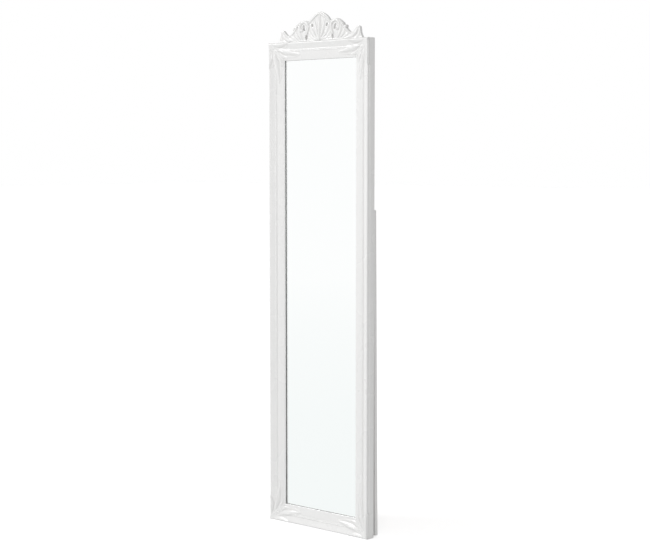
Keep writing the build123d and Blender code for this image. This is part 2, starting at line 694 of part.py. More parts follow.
# Rubber buffers that meet the back of the frame when the stand is closed
rest = radians(REST_OPEN)
BUMPER_DROP = HINGE_Z - BUMPER_Z - BUMPER_R
BUMPER_H = STAND_GAP / 2 + (STAND_GAP / 2 - BUMPER_AIR + BUMPER_DROP * sin(rest)) / cos(rest)
bumper_screw_place = [(LEG_X, STAND_FACE - BUMPER_H / 2, BUMPER_Z)]
with BuildPart() as bumper:
    with BuildSketch(Plane(origin=(LEG_X, STAND_FACE, BUMPER_Z), x_dir=(1, 0, 0), z_dir=(0, 0, 1))):
        with BuildLine():
            Polyline(
                (0, 0),
                (BUMPER_R, 0),
                (BUMPER_R - BUMPER_TAPER, -BUMPER_H),
                (BUMPER_RECESS_R, -BUMPER_H),
                (BUMPER_RECESS_R, -BUMPER_H / 2),
                (0, -BUMPER_H / 2),
                close=True,
            )
        make_face()
    revolve(axis=Axis((LEG_X, STAND_FACE, BUMPER_Z), (0, 1, 0)))
    add(placed(screw_shape(BUMPER_SCREW_R, BUMPER_SCREW_L), bumper_screw_place, FORWARD), mode=Mode.SUBTRACT)
save_pair(open_stand(bumper.part), "bumper")
bumper_screws = placed(screw(BUMPER_SCREW_R, BUMPER_SCREW_L), bumper_screw_place, FORWARD)
group(both(bumper_screws), "bumper_screws", stand=True)

# Domed glides under the legs, each with a nail
GLIDE_H = (HINGE_Z + TRACK_OFFSET * sin(rest) - GLIDE_AIR) / cos(rest) - (HINGE_Z - LEG_BOTTOM)
with BuildPart() as foot_glide:
    with BuildSketch(Plane(origin=(LEG_X, ARM_Y, LEG_BOTTOM), x_dir=(1, 0, 0), z_dir=FORWARD)):
        with BuildLine():
            TangentArc((0, -GLIDE_H), (GLIDE_R, -GLIDE_RIM), tangent=(1, 0))
            Polyline(
                (GLIDE_R, -GLIDE_RIM),
                (GLIDE_R, 0),
                (GLIDE_NAIL_R, 0),
                (GLIDE_NAIL_R, GLIDE_NAIL_L - GLIDE_NAIL_POINT),
                (0, GLIDE_NAIL_L),
                (0, -GLIDE_H),
            )
        make_face()
    revolve(axis=Axis((LEG_X, ARM_Y, LEG_BOTTOM), (0, 0, 1)))
save_pair(open_stand(foot_glide.part), "foot_glide")

OPENING = FULL_OPEN - REST_OPEN
print(f"stand opens {OPENING:.3f} degrees, arms follow at {(arm_angle(FULL_OPEN) - ARM_REST) / OPENING:.4f}")
print(f"hinge axis y {HINGE_Y:.3f} z {HINGE_Z:.3f}; arm axis y {ARM_Y:.3f} z {ARM_Z:.3f}")
print(f"slide {slide_place(FULL_OPEN):.2f} to {slide_place(REST_OPEN):.2f}")
print(f"buffer {BUMPER_H:.2f} high, glide {GLIDE_H:.3f} high")
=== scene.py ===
# %% [markdown]
# A white carved floor mirror
#
# This lesson dresses a full-length mirror that stands on the floor: a lacquered frame with a carved
# crest and leaves over its corners, and an easel stand folded behind it. The pieces that carry load and
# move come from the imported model, and each of them keeps its place. Here they get their finishes, and the
# frame, crest, leaves and mirror are made again with the detail that the eye looks for.

import json
import math

import bmesh
import bpy
import numpy as np
from mathutils import Matrix, Vector


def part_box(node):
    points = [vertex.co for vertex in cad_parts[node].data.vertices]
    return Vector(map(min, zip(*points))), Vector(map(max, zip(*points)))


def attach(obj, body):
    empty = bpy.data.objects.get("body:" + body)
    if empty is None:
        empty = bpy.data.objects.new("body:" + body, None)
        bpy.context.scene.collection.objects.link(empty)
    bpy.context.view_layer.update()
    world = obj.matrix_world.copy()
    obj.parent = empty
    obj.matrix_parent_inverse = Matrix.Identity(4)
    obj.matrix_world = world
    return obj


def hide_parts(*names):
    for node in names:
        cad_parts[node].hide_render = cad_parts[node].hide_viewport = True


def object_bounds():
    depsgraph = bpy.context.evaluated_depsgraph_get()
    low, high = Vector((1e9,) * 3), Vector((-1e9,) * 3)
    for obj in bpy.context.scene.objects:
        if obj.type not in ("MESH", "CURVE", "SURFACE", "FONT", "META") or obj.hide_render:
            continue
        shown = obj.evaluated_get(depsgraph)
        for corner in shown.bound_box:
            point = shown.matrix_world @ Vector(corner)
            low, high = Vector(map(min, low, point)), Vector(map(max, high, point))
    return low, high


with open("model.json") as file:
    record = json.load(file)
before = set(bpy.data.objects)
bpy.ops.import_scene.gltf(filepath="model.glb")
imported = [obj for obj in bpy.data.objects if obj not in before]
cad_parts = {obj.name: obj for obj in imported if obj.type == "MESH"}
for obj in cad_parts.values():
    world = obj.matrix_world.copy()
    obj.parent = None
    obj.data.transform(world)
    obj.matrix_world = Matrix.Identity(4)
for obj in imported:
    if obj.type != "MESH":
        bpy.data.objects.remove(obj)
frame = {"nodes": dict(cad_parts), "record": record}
MODEL_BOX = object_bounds()
MM = 0.001
scene = bpy.context.scene
print("model", [round(v, 4) for corner in MODEL_BOX for v in corner])

# %% [markdown]
# Sizes. The frame's outside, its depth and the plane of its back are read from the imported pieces, so
# that everything below follows them. Lengths are in millimetres, as a joiner would write them, and are
# turned into metres only where a mesh gets its place.

# %% Sizes of the frame
stile_low, stile_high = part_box("right_stile")
FRAME_W = 2 * stile_high.x / MM
FRAME_H = stile_high.z / MM
FACE_W = (stile_high.x - stile_low.x) / MM
FRONT = stile_low.y / MM
BACK = stile_high.y / MM
DEPTH = BACK - FRONT
print(f"frame {FRAME_W:.0f} x {FRAME_H:.0f} x {DEPTH:.0f} mm, moulding {FACE_W:.0f} mm wide")

# %% [markdown]
# The camera stands to the right of the mirror, about four and a half metres away, and looks slightly
# down. Its distance and focal length were worked out from how much nearer the right-hand edge looks than
# the left-hand one. The picture is 650 pixels wide, and one width of the sensor covers it.

# %% Camera
IMAGE_W = 650
SENSOR_W = 36.0
FOCAL_PIXELS = 1454.5
AZIMUTH = math.radians(40.31)
PITCH = math.radians(4.78)
DISTANCE = 4.462
CAMERA_HEIGHT = 1.168
CAMERA_SIDEWAYS = 0.0248
FARTHEST_SEEN = 100.0

camera = bpy.data.objects.new("camera", bpy.data.cameras.new("camera"))
scene.collection.objects.link(camera)
scene.camera = camera
camera.data.sensor_width = SENSOR_W
camera.data.lens = FOCAL_PIXELS * SENSOR_W / IMAGE_W
to_camera = Vector((math.sin(AZIMUTH), -math.cos(AZIMUTH), 0))
to_right = Vector((math.cos(AZIMUTH), math.sin(AZIMUTH), 0))
camera.location = to_camera * DISTANCE + to_right * CAMERA_SIDEWAYS + Vector((0, FRONT * MM, CAMERA_HEIGHT))
camera.rotation_euler = (math.pi / 2 - PITCH, 0, AZIMUTH)
camera.data.clip_end = FARTHEST_SEEN
print("camera", [round(v, 3) for v in camera.location], "lens", round(camera.data.lens, 1))

# %% [markdown]
# Materials and Geometry Nodes are both trees of nodes, so one small class writes either. Its only method
# for nodes takes the type, then the settings, then the values or links of the sockets. Maths reads best as
# sums: a second class wraps a socket, and its operators add the Math nodes.


# %% Short ways to write a tree of nodes
class Value:
    """A number that varies over a surface: an output socket, with the operators of a number."""

    def __init__(self, tree, socket):
        self.tree, self.socket = tree, socket

    def math(self, operation, first, second=None, clamp=False):
        made = self.tree.nodes.new("ShaderNodeMath")
        made.operation, made.use_clamp = operation, clamp
        for socket, value in zip(made.inputs, (first, second)):
            if isinstance(value, Value):
                self.tree.links.new(value.socket, socket)
            elif value is not None:
                socket.default_value = value
        return Value(self.tree, made.outputs[0])

    def __add__(self, other):
        return self.math("ADD", self, other)

    def __sub__(self, other):
        return self.math("SUBTRACT", self, other)

    def __rsub__(self, other):
        return self.math("SUBTRACT", other, self)

    def __mul__(self, other):
        return self.math("MULTIPLY", self, other)

    def __truediv__(self, other):
        return self.math("DIVIDE", self, other)

    def __gt__(self, other):
        return self.math("GREATER_THAN", self, other)

    def clamped(self):
        return self.math("ADD", self, 0.0, clamp=True)

    __radd__, __rmul__ = __add__, __mul__


class Tree:
    """Nodes and their links."""

    def __init__(self, tree):
        self.tree = tree

    def add(self, kind, settings=None, sockets=None):
        """Adds a node; settings come before sockets, and a socket takes a value or a link."""
        made = self.tree.nodes.new(kind)
        for name, value in (settings or {}).items():
            if name == "stops":
                ramp = made.color_ramp.elements
                while len(ramp) < len(value):
                    ramp.new(0.5)
                for stop, (place, colour) in zip(ramp, value):
                    stop.position, stop.color = place, (*colour, 1)
            else:
                setattr(made, name, value)
        for name, value in (sockets or {}).items():
            self.set(made.inputs[name], value)
        return made

    def set(self, socket, value):
        if isinstance(value, Value):
            self.tree.links.new(value.socket, socket)
        elif isinstance(value, bpy.types.NodeSocket):
            self.tree.links.new(value, socket)
        else:
            socket.default_value = value

    def out(self, made, name=0):
        return Value(self.tree, made.outputs[name])


trial = Tree(bpy.data.node_groups.new("trial", "ShaderNodeTree"))
half = trial.out(trial.add("ShaderNodeValue")) * 0.5
print("half of a value takes a", half.socket.node.name, "node")
bpy.data.node_groups.remove(trial.tree)

# %% [markdown]
# A finish is a material whose tree ends in the Principled shader. Patterns read the point on the object,
# so they stay with the piece when the piece moves.


# %% A finish
class Finish(Tree):
    """A material in the making, with its Principled shader."""

    def __init__(self, name):
        self.material = bpy.data.materials.new(name)
        self.material.use_nodes = True
        super().__init__(self.material.node_tree)
        self.shader = self.tree.nodes["Principled BSDF"]

    def place(self, stretch=(1, 1, 1)):
        """The point on the object, in metres, stretched so that a pattern runs along the piece."""
        here = self.add("ShaderNodeTexCoord").outputs["Object"]
        return self.add("ShaderNodeMapping", {}, {"Vector": here, "Scale": stretch}).outputs[0]

    def noise(self, place, scale, detail=3.0, roughness=0.5):
        sockets = {"Vector": place, "Scale": scale, "Detail": detail, "Roughness": roughness}
        return self.out(self.add("ShaderNodeTexNoise", {}, sockets), "Fac")

    def blend(self, factor, first, second):
        """A colour between two others."""
        first, second = ((*c, 1) if isinstance(c, tuple) else c for c in (first, second))
        made = self.add("ShaderNodeMix", {"data_type": "RGBA"}, {0: factor, 6: first, 7: second})
        return made.outputs[2]

    def bump(self, height, distance):
        made = self.add("ShaderNodeBump", {}, {"Height": height, "Distance": distance})
        self.set(self.shader.inputs["Normal"], made.outputs[0])

    def surface(self, **sockets):
        """Sets the shader's sockets, named with underscores for spaces."""
        for name, value in sockets.items():
            value = (*value, 1) if isinstance(value, tuple) else value
            self.set(self.shader.inputs[name.replace("_", " ").title()], value)
        return self.material


def wear(obj, *materials):
    """Gives a piece its finish or finishes."""
    obj.data.materials.clear()
    for material in materials:
        obj.data.materials.append(material)


print("finishes end in", Finish("trial").shader.name)
bpy.data.materials.remove(bpy.data.materials["trial"])

# %% [markdown]
# White lacquer is sprayed in several coats and rubbed down, so it is smooth but not perfectly flat: a
# fine orange-peel ripple, a faint drift of tone, and gloss that comes and goes. On the carving, shade is
# painted into the colour: it turns greyer where a point lies deeper than its surroundings. The carved
# meshes carry that depth as a named value on every point, and the finish reads it.

# %% White lacquer
LACQUER = (0.83, 0.828, 0.822)
# The grey of the painted shade in the carving's recesses.
PAINTED_HOLLOW_SHADE = (0.6, 0.595, 0.585)


def white_lacquer(name, painted_shade=False, ripple=900.0):
    finish = Finish(name)
    place = finish.place()
    drift = finish.noise(place, scale=7.0)
    peel = finish.noise(place, scale=ripple, detail=2.0)
    tone = finish.blend((drift - 0.3) * 0.9, LACQUER, tuple(c * 0.975 for c in LACQUER))
    # Painted shade: the colour turns greyer where the carving lies deep.
    if painted_shade:
        hollow = finish.out(finish.add("ShaderNodeAttribute", {"attribute_name": "hollow"}), "Fac")
        tone = finish.blend((hollow * (0.75 + 0.5 * drift)).clamped(), tone, PAINTED_HOLLOW_SHADE)
    finish.bump(peel, distance=0.00004)
    gloss = 0.2 + 0.14 * drift
    return finish.surface(base_color=tone, roughness=gloss, coat_weight=0.3, coat_roughness=0.12)


frame_white = white_lacquer("white_lacquer")
carving_white = white_lacquer("carving_lacquer", painted_shade=True, ripple=700.0)
print("lacquers", frame_white.name, carving_white.name)

# %% [markdown]
# The stand is plain timber under a thinner coat, put on with a roller, so the grain still shows as long
# shallow streaks along each member. One function makes it for upright and for level members, because
# the streaks follow the length of the wood.


# %% Rolled white paint over timber
def rolled_white(name, stretch):
    finish = Finish(name)
    grain = finish.noise(finish.place(stretch), scale=160.0, detail=4.0)
    stipple = finish.noise(finish.place(), scale=650.0, detail=2.0)
    tone = finish.blend((grain - 0.35) * 1.2, LACQUER, tuple(c * 0.95 for c in LACQUER))
    finish.bump(grain * 0.7 + stipple * 0.3, distance=0.00012)
    return finish.surface(base_color=tone, roughness=0.42 + 0.15 * stipple)


ALONG_Z = (1.0, 1.0, 0.03)
ALONG_X = (0.03, 1.0, 1.0)
upright_white = rolled_white("stand_white_upright", ALONG_Z)
level_white = rolled_white("stand_white_level", ALONG_X)
print("stand paints", upright_white.name, level_white.name)

# %% [markdown]
# Bare wood shows at the ends of the dowels, and a thin grey primer over wood in the rebate that the glass
# lies in. Both show the grain: its rings are a noise stretched along the wood and sharpened with a ramp,
# with finer pores over it.


# %% Bare and primed wood
def bare_wood(name, stretch, light, dark):
    finish = Finish(name)
    place = finish.place(stretch)
    rings = finish.noise(place, scale=55.0, roughness=0.55)
    pores = finish.noise(place, scale=600.0, detail=2.0)
    between = tuple((a + b) / 2 for a, b in zip(light, dark))
    stops = [(0.35, light), (0.52, between), (0.6, light), (0.72, dark)]
    tone = finish.add("ShaderNodeValToRGB", {"stops": stops}, {"Fac": rings}).outputs[0]
    tone = finish.blend((pores - 0.45) * 0.8, tone, dark)
    finish.bump(rings * 0.4 + pores * 0.6, distance=0.00015)
    return finish.surface(base_color=tone, roughness=0.62 + 0.2 * pores)


BEECH_LIGHT, BEECH_DARK = (0.6, 0.42, 0.26), (0.46, 0.3, 0.17)
PRIMER_LIGHT, PRIMER_DARK = (0.5, 0.495, 0.485), (0.4, 0.395, 0.385)
beech_upright = bare_wood("beech_upright", ALONG_Z, BEECH_LIGHT, BEECH_DARK)
beech_level = bare_wood("beech_level", ALONG_X, BEECH_LIGHT, BEECH_DARK)
primer_upright = bare_wood("primed_rebate_upright", ALONG_Z, PRIMER_LIGHT, PRIMER_DARK)
primer_level = bare_wood("primed_rebate_level", ALONG_X, PRIMER_LIGHT, PRIMER_DARK)
print("woods", beech_upright.name, beech_level.name, primer_upright.name)

# %% [markdown]
# The board behind the glass is brown hardboard: wood fibres pressed flat. Its colour is clouded, and dark
# fibres lie all over it and roughen it a little.

# %% Hardboard
BOARD_DARK, BOARD_LIGHT, BOARD_FIBRE = (0.2, 0.115, 0.06), (0.31, 0.19, 0.11), (0.11, 0.06, 0.032)


def hardboard():
    finish = Finish("hardboard")
    place = finish.place()
    mottle = finish.noise(place, scale=45.0, detail=5.0, roughness=0.65)
    fibre = finish.noise(place, scale=1100.0, roughness=0.7)
    tone = finish.blend((mottle - 0.25) * 1.4, BOARD_DARK, BOARD_LIGHT)
    tone = finish.blend((fibre - 0.5) * 1.6, tone, BOARD_FIBRE)
    finish.bump(fibre, distance=0.0002)
    return finish.surface(base_color=tone, roughness=0.5 + 0.3 * fibre)


board_brown = hardboard()
print("board", board_brown.name)

# %% [markdown]
# A silvered mirror is a metal seen through clear glass. Soda glass takes a little red out of the light,
# so the reflection is very slightly cool, and its cut edge looks green. The silver is backed with a coat
# of grey paint. The small parts get finishes of their own: bright zinc on steel, rubber and nylon.


# %% Mirror silver, cut glass, backing paint, zinc, rubber and nylon
def mirror_silver():
    finish = Finish("mirror_silver")
    haze = finish.noise(finish.place(), scale=3.0)
    tone = finish.blend(haze, (0.985, 0.995, 0.993), (0.97, 0.985, 0.982))
    return finish.surface(base_color=tone, metallic=1.0, roughness=0.012)


def mottled(name, first, second, scale, roughness):
    """A plain finish whose colour and gloss drift between two tones."""
    finish = Finish(name)
    cloud = finish.noise(finish.place(), scale, detail=4.0)
    finish.bump(cloud, distance=0.00006)
    return finish.surface(base_color=finish.blend(cloud, first, second), roughness=roughness + 0.18 * cloud)


def zinc_plate():
    finish = Finish("zinc_steel")
    spangle = finish.noise(finish.place(), scale=220.0)
    scratch = finish.noise(finish.place((1.0, 1.0, 0.05)), scale=1500.0, detail=2.0)
    tone = finish.blend(spangle, (0.62, 0.62, 0.6), (0.5, 0.51, 0.52))
    finish.bump(scratch, distance=0.00003)
    return finish.surface(base_color=tone, metallic=1.0, roughness=0.24 + 0.2 * spangle)


silver, zinc = mirror_silver(), zinc_plate()
glass_edge = mottled("cut_glass", (0.34, 0.5, 0.44), (0.24, 0.42, 0.36), 300.0, 0.25)
back_paint = mottled("backing_paint", (0.2, 0.21, 0.21), (0.16, 0.17, 0.17), 90.0, 0.5)
rubber = mottled("black_rubber", (0.018, 0.018, 0.019), (0.045, 0.044, 0.043), 900.0, 0.58)
nylon = mottled("white_nylon", (0.68, 0.67, 0.63), (0.6, 0.59, 0.55), 130.0, 0.32)
print("small parts", silver.name, zinc.name, rubber.name, nylon.name)

# %% [markdown]
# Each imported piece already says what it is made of, in its material slot. One table turns that word into a
# finish. The stand's rails lie level and the crest's dowels stand upright, so they wear the version of
# their finish whose grain runs their way.

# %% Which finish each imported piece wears
BY_SLOT = {
    "white_lacquer": frame_white,
    "white_carving": carving_white,
    "white_stand": upright_white,
    "mirror_glass": silver,
    "hardboard": board_brown,
    "beech": beech_level,
    "zinc_steel": zinc,
    "black_rubber": rubber,
    "glide_plastic": nylon,
}
slot_of = {part["node"]: part["material_slot"] for part in frame["record"]["subparts"]}
for node_name, node in frame["nodes"].items():
    wear(node, BY_SLOT[slot_of[node_name]])
for rail in ("stand_top_rail", "stand_lower_rail"):
    wear(frame["nodes"][rail], level_white)
wear(frame["nodes"]["crest_dowels"], beech_upright)
print(len(frame["nodes"]), "packed pieces have a finish")

# %% [markdown]
# Every new piece is finished the same way: its mesh gets smooth shading with real edges kept sharp, it
# rides on the frame, and the imported piece that it is made in place of is hidden. Before that, its faces
# are made to point outwards, and its volume is measured: a negative one would mean that it is inside out.

# %% Handing over a new piece
SHARP_ANGLE = math.radians(38)
SAME_PLACE = 1e-7
CUBIC_CM = 1e-6


def hand_over(name, mesh, node, sharp=SHARP_ANGLE):
    """Links a mesh as a piece of the frame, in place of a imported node."""
    shape = bmesh.new()
    shape.from_mesh(mesh)
    bmesh.ops.remove_doubles(shape, verts=shape.verts, dist=SAME_PLACE)
    bmesh.ops.recalc_face_normals(shape, faces=shape.faces)
    open_edges = sum(not edge.is_manifold for edge in shape.edges)
    volume = shape.calc_volume(signed=True)
    if volume < 0:
        bmesh.ops.reverse_faces(shape, faces=shape.faces)
    shape.to_mesh(mesh)
    shape.free()
    mesh.shade_smooth()
    mesh.set_sharp_from_angle(angle=sharp)
    piece = bpy.data.objects.new(name, mesh)
    scene.collection.objects.link(piece)
    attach(piece, "frame")
    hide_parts(node)
    print(f"{name}: {len(mesh.polygons)} faces, {abs(volume) / CUBIC_CM:.1f} cm3, {open_edges} open edges")


# %% [markdown]
# The moulding. A spindle cutter gives the frame's wood one section all along: an outer edge with an
# ovolo and a groove, a face that falls back towards the glass, a double bead at its middle, a flatter
# slope, and the rounded lip that hides the edge of the glass. The section is drawn once, with x inwards
# from the outside edge and y backwards. Its rounds are arcs in a chain: each starts where the last one
# ended, passes through one place and ends at another.

# %% The section of the moulding
LIP_FRONT, LIP_BACK = 13.4, 16.4
REBATE = 8.0
CHAMFER = 0.6
OVOLO_START, OVOLO, GROOVE = (0.0, 16.2), ((1.2, 11.2), (4.9, 8.0)), ((5.0, 6.9), (3.6, 6.0))
NOSE_START, NOSE, OUTER_SLOPE = (1.1, 3.6), ((1.9, 1.2), (4.2, 0.0)), ((13.8, 4.1), (22.0, 7.4))
LARGE_BEAD, SMALL_BEAD = ((24.1, 6.1), (26.0, 7.6)), ((27.5, 6.8), (28.8, 8.2))
INNER_SLOPE, LIP = ((42.0, 9.8), (54.6, 12.0)), ((55.6, 12.5), (FACE_W, LIP_FRONT))
ARC_STEPS = 7


def arc(start, via, end):
    """Points along the circle through three places, with both ends."""
    first, second, third = (complex(*point) for point in (start, via, end))
    ratio = (third - first) / (second - first)
    centre = first + (second - first) * (ratio - abs(ratio) ** 2) / (2j * ratio.imag)
    sweep = np.angle((third - centre) / (first - centre))
    turned = centre + (first - centre) * np.exp(1j * sweep * np.linspace(0, 1, ARC_STEPS + 1))
    return [(point.real, point.imag) for point in turned]


def rounds(start, *arcs):
    """Points along a chain of arcs, each given by a place it passes through and its end."""
    points = [start]
    for via, end in arcs:
        points += arc(points[-1], via, end)[1:]
    return points


def moulding_section(face):
    """The closed outline of the moulding, from the back of its outside edge round to where it starts."""
    edge = [(0, DEPTH - CHAMFER)] + rounds(OVOLO_START, OVOLO, GROOVE)
    inside = FACE_W - REBATE
    rebate = [(FACE_W, LIP_BACK), (inside, LIP_BACK), (inside, DEPTH - CHAMFER), (inside - CHAMFER, DEPTH)]
    return edge + face + rebate + [(CHAMFER, DEPTH)]


FACE = rounds(NOSE_START, NOSE, OUTER_SLOPE, LARGE_BEAD, SMALL_BEAD, INNER_SLOPE, LIP)
SECTION = moulding_section(FACE)
print("the section has", len(SECTION), "points and is", max(u for u, _ in SECTION), "mm wide")

# %% [markdown]
# Carrying a section along a line is a rule, so Geometry Nodes do it. The section becomes a profile curve,
# a straight line of the length of the side carries it, and a Set Position node moves each end back by its
# own distance from the outside edge, which cuts the mitres. Then the faces get lacquer, and those of the
# rebate get primer. The tree has named inputs, so the same tree makes all four sides.


# %% Geometry Nodes, written in the same way
class Recipe(Tree):
    """A Geometry Nodes tree: a base mesh and named inputs go in, one plain mesh comes out."""

    def __init__(self, name, inputs):
        super().__init__(bpy.data.node_groups.new(name, "GeometryNodeTree"))
        sockets = self.tree.interface
        sockets.new_socket("Mesh", in_out="OUTPUT", socket_type="NodeSocketGeometry")
        sockets.new_socket("Base", in_out="INPUT", socket_type="NodeSocketGeometry")
        for title, kind in inputs.items():
            sockets.new_socket(title, in_out="INPUT", socket_type="NodeSocket" + kind)
        self.start = self.add("NodeGroupInput")
        self.end = self.add("NodeGroupOutput")

    def given(self, title):
        return Value(self.tree, self.start.outputs[title])

    def step(self, kind, geometry, sockets=None):
        """Adds a node that works on the geometry, and gives its result."""
        made = self.add(kind, {}, sockets)
        self.tree.links.new(geometry, made.inputs[0])
        return made.outputs[0]

    def finish(self, geometry):
        self.tree.links.new(geometry, self.end.inputs[0])

    def run(self, name, base, values):
        """Evaluates the tree on a mesh and keeps the result as a plain mesh."""
        holder = bpy.data.objects.new("holder", base)
        scene.collection.objects.link(holder)
        modifier = holder.modifiers.new("recipe", "NODES")
        modifier.node_group = self.tree
        for item in self.tree.interface.items_tree:
            if item.name in values:
                modifier[item.identifier] = values[item.name]
        graph = bpy.context.evaluated_depsgraph_get()
        mesh = bpy.data.meshes.new_from_object(holder.evaluated_get(graph))
        mesh.name = name
        holder.modifiers.remove(modifier)
        bpy.data.objects.remove(holder)
        return mesh


def moulding_recipe():
    inputs = {"Length": "Float", "Rebate start": "Float", "Rebate top": "Float"}
    recipe = Recipe("moulding", inputs | {"Paint": "Material", "Primer": "Material"})
    length = recipe.given("Length")
    profile = recipe.step("GeometryNodeMeshToCurve", recipe.start.outputs["Base"])
    end = recipe.add("ShaderNodeCombineXYZ", {}, {"Z": length}).outputs[0]
    line = recipe.add("GeometryNodeCurvePrimitiveLine", {}, {"End": end}).outputs[0]
    body = recipe.step("GeometryNodeCurveToMesh", line, {"Profile Curve": profile, "Fill Caps": True})
    here = recipe.add("GeometryNodeInputPosition").outputs[0]
    parts = recipe.add("ShaderNodeSeparateXYZ", {}, {"Vector": here})
    inwards, backwards, along = (recipe.out(parts, axis) for axis in "XYZ")
    cut = inwards + along * (1.0 - 2.0 * inwards / length)
    mitred = recipe.add("ShaderNodeCombineXYZ", {}, {"X": inwards, "Y": backwards, "Z": cut}).outputs[0]
    body = recipe.step("GeometryNodeSetPosition", body, {"Position": mitred})
    body = recipe.step("GeometryNodeRealizeInstances", body)
    body = recipe.step("GeometryNodeSetMaterial", body, {"Material": recipe.given("Paint")})
    in_rebate = (inwards > recipe.given("Rebate start")) * (backwards > recipe.given("Rebate top"))
    primed = {"Selection": in_rebate, "Material": recipe.given("Primer")}
    recipe.finish(recipe.step("GeometryNodeSetMaterial", body, primed))
    return recipe


MOULDING = moulding_recipe()
print("the moulding's tree has", len(MOULDING.tree.nodes), "nodes")

# %% [markdown]
# The four sides follow each other round the frame. Each starts at a corner and has two directions:
# inwards, across its own width, and along its length to the next corner.

# %% The four sides
HALF_W = FRAME_W / 2
RIGHTWARDS, LEFTWARDS = Vector((1, 0, 0)), Vector((-1, 0, 0))
UPWARDS, DOWNWARDS = Vector((0, 0, 1)), Vector((0, 0, -1))
BACKWARDS = Vector((0, 1, 0))
REBATE_MARGIN = 0.1
SIDES = [
    ("left_stile", "bottom_left", Vector((-HALF_W, FRONT, 0)), RIGHTWARDS, UPWARDS, FRAME_H),
    ("top_rail", "top_left", Vector((-HALF_W, FRONT, FRAME_H)), DOWNWARDS, RIGHTWARDS, FRAME_W),
    ("right_stile", "top_right", Vector((HALF_W, FRONT, FRAME_H)), LEFTWARDS, DOWNWARDS, FRAME_H),
    ("bottom_rail", "bottom_right", Vector((HALF_W, FRONT, 0)), UPWARDS, LEFTWARDS, FRAME_W),
]


def at_corner(corner, inwards, along):
    """The place of a side: its own x, y and z become inwards, backwards and along, in metres."""
    turn = Matrix((inwards, BACKWARDS, along)).transposed().to_4x4()
    return Matrix.Scale(MM, 4) @ Matrix.Translation(corner) @ turn


outline = bpy.data.meshes.new("section")
loop = [(i, (i + 1) % len(SECTION)) for i in range(len(SECTION))]
outline.from_pydata([(u, d, 0) for u, d in SECTION], loop, [])
for side_name, _, corner, inwards, along, length in SIDES:
    primer = primer_upright if length == FRAME_H else primer_level
    values = {"Length": length, "Paint": frame_white, "Primer": primer}
    values |= {"Rebate start": FACE_W - REBATE - REBATE_MARGIN, "Rebate top": LIP_BACK - REBATE_MARGIN}
    mesh = MOULDING.run(side_name + "_moulding", outline, values)
    mesh.transform(at_corner(corner, inwards, along))
    hand_over(side_name + "_moulding", mesh, side_name)

# %% [markdown]
# The mirror is a pane of float glass. What the eye sees is its silver. Through the glass it seems to
# lie about three millimetres behind the lip, so the primed rebate is reflected as a dark line down the
# edge. The piece is that silvered face, with the cut edge of the glass round it and paint behind.

# %% The mirror
SILVER_DEPTH = 2.7
ARRIS = 0.8
PANE_SHARP = math.radians(5)
pane_low, pane_high = (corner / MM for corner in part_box("mirror_glass"))
GLASS_T = pane_high.y - pane_low.y


def pane_ring(inset, depth):
    """Four corners of the pane, drawn in by some amount, at one distance from its front."""
    left, right = pane_low.x + inset, pane_high.x - inset
    bottom, top = pane_low.z + inset, pane_high.z - inset
    y = pane_low.y + depth
    ring = ((left, y, bottom), (right, y, bottom), (right, y, top), (left, y, top))
    return [Vector(place) * MM for place in ring]


rings = [
    pane_ring(ARRIS, SILVER_DEPTH),
    pane_ring(0, SILVER_DEPTH + ARRIS / 2),
    pane_ring(0, GLASS_T - ARRIS / 4),
    pane_ring(ARRIS / 4, GLASS_T),
]
points = [point for ring in rings for point in ring]
last = 4 * (len(rings) - 1)
faces = [(0, 1, 2, 3), (last + 3, last + 2, last + 1, last)]
for first in range(0, last, 4):
    for i, j in ((0, 1), (1, 2), (2, 3), (3, 0)):
        faces.append((first + i, first + j, first + 4 + j, first + 4 + i))
pane = bpy.data.meshes.new("mirror_pane")
pane.from_pydata(points, [], faces)
for material in (silver, back_paint, glass_edge):
    pane.materials.append(material)
for i, polygon in enumerate(pane.polygons):
    polygon.material_index = min(i, 2)
hand_over("mirror_pane", pane, "mirror_glass", sharp=PANE_SHARP)

# %% [markdown]
# The carving. Real ornament of this kind is cut in relief, so from the front it is a height over a flat
# outline: every tool stroke is a path with a width and a height. It could be sculpted by hand, but then
# nobody could change it. Here each stroke is a line of a list. A fine square net of points takes the
# greatest height of all strokes, grooves are cut into that, and a light blur does what several coats of
# lacquer do to a carver's edges.

# %% Curves and distances on a net of points
CURVE_STEPS = 6


def curve(points):
    """A smooth curve that passes through each of a few points."""
    points = np.asarray(points, float)
    ends = np.vstack((2 * points[0] - points[1], points, 2 * points[-1] - points[-2]))
    t = np.linspace(0, 1, CURVE_STEPS, endpoint=False)[:, None]
    runs = []
    for before, start, end, after in zip(ends, ends[1:], ends[2:], ends[3:]):
        slope, bend = end - before, 2 * before - 5 * start + 4 * end - after
        runs.append(start + 0.5 * (slope * t + bend * t**2 + (3 * start - before - 3 * end + after) * t**3))
    return np.vstack(runs + [points[-1:]])


def nearest(path, x, z):
    """For each point of the net: its distance from a path, and how far along the path that is, 0 to 1."""
    path = np.asarray(path, float)
    lengths = np.linalg.norm(np.diff(path, axis=0), axis=1)
    reached = np.concatenate(([0], np.cumsum(lengths)))
    gap, along = np.full(x.shape, np.inf), np.zeros(x.shape)
    for start, step, length, before in zip(path, np.diff(path, axis=0), lengths, reached):
        if length == 0:
            continue
        t = np.clip(((x - start[0]) * step[0] + (z - start[1]) * step[1]) / length**2, 0, 1)
        here = np.hypot(x - start[0] - t * step[0], z - start[1] - t * step[1])
        along = np.where(here < gap, (before + t * length) / reached[-1], along)
        gap = np.minimum(gap, here)
    return gap, along


